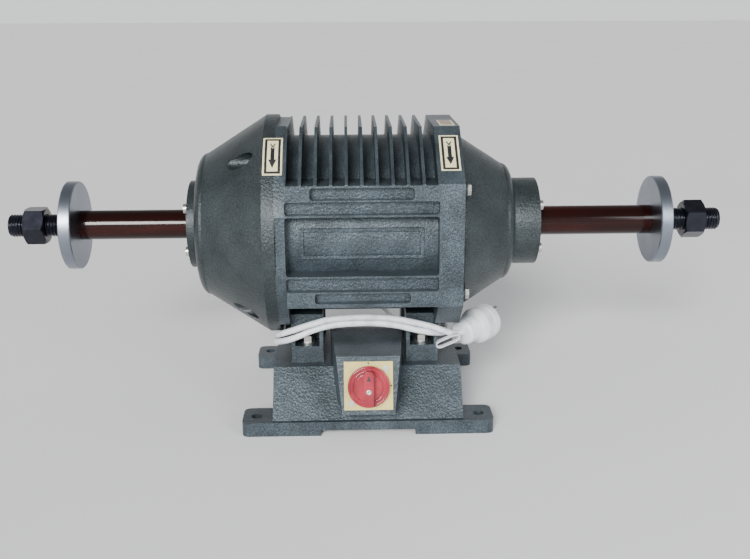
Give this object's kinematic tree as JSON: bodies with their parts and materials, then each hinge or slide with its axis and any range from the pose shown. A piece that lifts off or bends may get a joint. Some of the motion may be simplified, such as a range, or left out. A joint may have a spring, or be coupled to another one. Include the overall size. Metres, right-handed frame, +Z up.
{
  "type": "bench grinder",
  "caption": "Double-ended bench grinding and polishing motor: finned cast casing on a pedestal, long spindle with wheel flanges and nuts, rotary switch, and a supply lead wound round its feet.",
  "frame": {"origin": "centre of the four bench bolt holes, on the underside of the base", "axes": "+X along the spindle towards the right nut, +Y from the switch panel to the back, +Z up"},
  "size_m": [0.757, 0.3132, 0.311],
  "materials": {
    "casting_paint": "hammered grey enamel, satin",
    "bell_paint": "hammered grey enamel, satin",
    "zinc": "zinc plated, slightly dull",
    "laminations": "stacked sheet steel",
    "copper": "varnished copper wire",
    "bearing_steel": "ground steel",
    "black_oxide": "blued steel with an oil film",
    "sleeve_enamel": "glossy dark red-brown enamel",
    "turned_aluminium": "lathe turned",
    "cast_aluminium": "as cast",
    "seal_rubber": "matt black",
    "black_plastic": "moulded",
    "switch_plate_plastic": "moulded, yellow",
    "knob_plastic": "moulded, red",
    "white_plastic": "moulded, white",
    "lead_sheath": "soft white sheath",
    "plug_shell": "white moulded shell",
    "plug_pin_metal": "nickel plated",
    "label": "printed sticker with a black arrow",
    "capacitor_can": "drawn can"
  },
  "bodies": {
    "motor_frame": {"pedestal": "casting_paint", "stator_housing": "casting_paint", "left_end_bell": "bell_paint", "right_end_bell": "bell_paint", "left_bearing_cap": "bell_paint", "right_bearing_cap": "bell_paint", "left_bell_bolts": "black_oxide", "right_bell_bolts": "zinc", "left_cap_screws": "zinc", "right_cap_screws": "zinc", "stator_core": "laminations", "stator_winding": "copper", "left_outer_race": "bearing_steel", "right_outer_race": "bearing_steel", "preload_spring": "bearing_steel", "left_shaft_seal": "seal_rubber", "right_shaft_seal": "seal_rubber", "foot_bolts": "zinc", "foot_nuts": "zinc", "foot_washers": "zinc", "lead_conduit": "black_plastic", "switch_plate": "switch_plate_plastic", "switch_body": "black_plastic", "switch_screws": "zinc", "terminal_block": "white_plastic", "run_capacitor": "capacitor_can", "capacitor_clamp": "zinc", "clamp_screws": "zinc", "cable_gland": "black_plastic", "gland_nut": "black_plastic", "power_cord": "lead_sheath", "plug_body": "plug_shell", "plug_pins": "plug_pin_metal", "cord_tie": "lead_sheath", "left_arrow_label": "label", "right_arrow_label": "label", "top_label": "label"},
    "spindle": {"spindle_shaft": "black_oxide", "rotor_core": "laminations", "rotor_cage": "cast_aluminium", "left_inner_race": "bearing_steel", "right_inner_race": "bearing_steel", "left_sleeve": "sleeve_enamel", "right_sleeve": "sleeve_enamel", "left_flange": "turned_aluminium", "right_flange": "turned_aluminium"},
    "left_ball_cage": {"left_ball_set": "bearing_steel"},
    "right_ball_cage": {"right_ball_set": "bearing_steel"},
    "left_spindle_nut": {"left_nut": "black_oxide"},
    "right_spindle_nut": {"right_nut": "black_oxide"},
    "switch_shaft": {"switch_knob": "knob_plastic", "switch_cam": "white_plastic"}
  },
  "joints": [
    {"name": "spindle_spin", "type": "hinge", "parent": "motor_frame", "child": "spindle", "pos_m": [0, 0, 0.196], "axis": [1, 0, 0], "continuous": true},
    {"name": "left_balls_roll", "type": "hinge", "parent": "motor_frame", "child": "left_ball_cage", "pos_m": [0, 0, 0.196], "axis": [1, 0, 0], "continuous": true},
    {"name": "right_balls_roll", "type": "hinge", "parent": "motor_frame", "child": "right_ball_cage", "pos_m": [0, 0, 0.196], "axis": [1, 0, 0], "continuous": true},
    {"name": "left_nut_travel", "type": "slide", "parent": "spindle", "child": "left_spindle_nut", "axis": [-1, 0, 0], "range_m": [-0.0225, 0.016]},
    {"name": "right_nut_travel", "type": "slide", "parent": "spindle", "child": "right_spindle_nut", "axis": [1, 0, 0], "range_m": [-0.0225, 0.016]},
    {"name": "switch_turn", "type": "hinge", "parent": "motor_frame", "child": "switch_shaft", "pos_m": [0, -0.13, 0.061], "axis": [0, 0.9781, -0.2079], "range_deg": [0, 90]}
  ],
  "couplings": [
    {"joint": "left_balls_roll", "follows": "spindle_spin", "ratio": 0.3967},
    {"joint": "right_balls_roll", "follows": "spindle_spin", "ratio": 0.3967}
  ]
}
